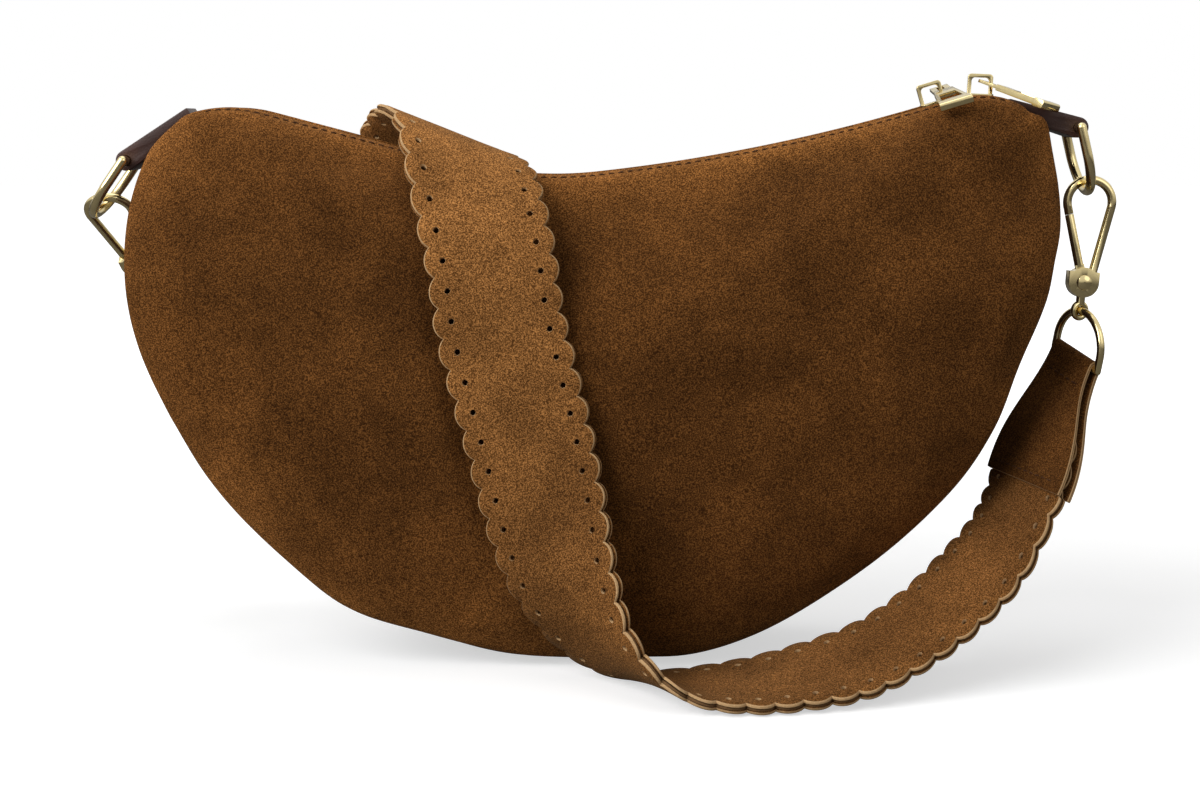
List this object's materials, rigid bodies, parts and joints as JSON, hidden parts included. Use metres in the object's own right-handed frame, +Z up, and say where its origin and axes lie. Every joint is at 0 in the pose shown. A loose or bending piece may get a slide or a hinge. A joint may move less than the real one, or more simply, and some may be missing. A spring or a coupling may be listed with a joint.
{
  "type": "half moon shoulder bag",
  "caption": "Brown suede half moon shoulder bag with a curved two-way zip, a gusset, D-rings and a scalloped strap on swivel trigger clasps.",
  "frame": {"origin": "centre of the flat patch of the gusset that the bag stands on", "axes": "+X along the zip towards the end with the sliders, +Y from the front panel to the back panel, +Z up"},
  "size_m": [0.4017, 0.1896, 0.2245],
  "materials": {
    "suede": "napped suede, warm brown",
    "dark_leather": "smooth dark brown, low sheen",
    "lining_cloth": "plain woven cotton",
    "zip_tape": "fine woven tape",
    "gold": "polished pale gold plating"
  },
  "bodies": {
    "bag": {"front_panel": "suede", "back_panel": "suede", "gusset": "dark_leather", "lining": "lining_cloth", "zip_tape_front": "zip_tape", "zip_tape_back": "zip_tape", "zip_teeth_front": "gold", "zip_teeth_back": "gold", "zip_end_stops": "gold", "end_tab_left": "dark_leather", "end_tab_right": "dark_leather", "strap": "suede", "strap_end_tab_left": "suede", "strap_end_tab_right": "suede"},
    "zip_slider_left": {"slider_left": "gold"},
    "zip_pull_left": {"pull_left": "gold"},
    "ring_left": {"d_ring_left": "gold"},
    "loop_left": {"strap_loop_left": "gold"},
    "stud_left": {"swivel_stud_left": "gold"},
    "clasp_left": {"clasp_frame_left": "gold", "gate_spring_left": "gold", "gate_rivet_left": "gold"},
    "gate_left": {"clasp_gate_left": "gold"},
    "zip_slider_right": {"slider_right": "gold"},
    "zip_pull_right": {"pull_right": "gold"},
    "ring_right": {"d_ring_right": "gold"},
    "loop_right": {"strap_loop_right": "gold"},
    "stud_right": {"swivel_stud_right": "gold"},
    "clasp_right": {"clasp_frame_right": "gold", "gate_spring_right": "gold", "gate_rivet_right": "gold"},
    "gate_right": {"clasp_gate_right": "gold"}
  },
  "joints": [
    {"name": "slider_left_travel", "type": "hinge", "parent": "bag", "child": "zip_slider_left", "pos_m": [-0.07446, 0, 0.89564], "axis": [0, 1, 0], "range_deg": [0, 9.8]},
    {"name": "pull_left_lift", "type": "hinge", "parent": "zip_slider_left", "child": "zip_pull_left", "pos_m": [0.13336, 0, 0.21786], "axis": [-0.9577, 0, -0.2876], "range_deg": [0, 40]},
    {"name": "ring_left_swing", "type": "hinge", "parent": "bag", "child": "ring_left", "pos_m": [-0.1778, 0, 0.19094], "axis": [0, 1, 0], "range_deg": [-8, 1]},
    {"name": "loop_left_swing", "type": "hinge", "parent": "bag", "child": "loop_left", "pos_m": [-0.183, 0.055, 0.128], "axis": [0, 0.9063, 0.4226], "range_deg": [-0.15, 0.85]},
    {"name": "stud_left_tilt", "type": "hinge", "parent": "loop_left", "child": "stud_left", "pos_m": [-0.183, 0.04272, 0.14215], "axis": [0, 0.6871, 0.7266], "range_deg": [-0.27, 1.77]},
    {"name": "clasp_left_swivel", "type": "hinge", "parent": "stud_left", "child": "clasp_left", "pos_m": [-0.18465, 0.03481, 0.14962], "axis": [-0.1495, -0.7184, 0.6794], "range_deg": [-20, 12]},
    {"name": "gate_left_open", "type": "hinge", "parent": "clasp_left", "child": "gate_left", "pos_m": [-0.18465, 0.03481, 0.14962], "axis": [0, -0.6871, -0.7266], "range_deg": [0, 14], "stiffness_Nm_per_rad": 0.02, "springref_deg": -5.73},
    {"name": "slider_right_travel", "type": "hinge", "parent": "bag", "child": "zip_slider_right", "pos_m": [0.14659, 0, 0.1771], "axis": [0, -1, 0], "range_deg": [0, 3]},
    {"name": "pull_right_lift", "type": "hinge", "parent": "zip_slider_right", "child": "zip_pull_right", "pos_m": [0.15255, 0, 0.21974], "axis": [-0.694, -0.7193, 0.0302], "range_deg": [0, 40]},
    {"name": "ring_right_swing", "type": "hinge", "parent": "bag", "child": "ring_right", "pos_m": [0.18459, 0, 0.20347], "axis": [0, 1, 0], "range_deg": [-2, 8]},
    {"name": "loop_right_swing", "type": "hinge", "parent": "bag", "child": "loop_right", "pos_m": [0.1883, -0.0003, 0.1142], "axis": [0.3848, -0.8809, -0.2756], "range_deg": [-0.45, 1.65]},
    {"name": "stud_right_tilt", "type": "hinge", "parent": "loop_right", "child": "stud_right", "pos_m": [0.18885, -0.00156, 0.13301], "axis": [0.4003, -0.9164, 0], "range_deg": [-0.62, 2.34]},
    {"name": "clasp_right_swivel", "type": "hinge", "parent": "stud_right", "child": "clasp_right", "pos_m": [0.18962, -0.00122, 0.14397], "axis": [0.0703, 0.0307, 0.9971], "range_deg": [-12, 20]},
    {"name": "gate_right_open", "type": "hinge", "parent": "clasp_right", "child": "gate_right", "pos_m": [0.18962, -0.00122, 0.14397], "axis": [-0.0011, 0.9995, -0.0307], "range_deg": [0, 14], "stiffness_Nm_per_rad": 0.02, "springref_deg": -5.73}
  ],
  "couplings": [
    {"joint": "loop_left_swing", "follows": "ring_left_swing", "ratio": -0.1},
    {"joint": "stud_left_tilt", "follows": "ring_left_swing", "ratio": -0.215},
    {"joint": "loop_right_swing", "follows": "ring_right_swing", "ratio": 0.2},
    {"joint": "stud_right_tilt", "follows": "ring_right_swing", "ratio": 0.286}
  ]
}
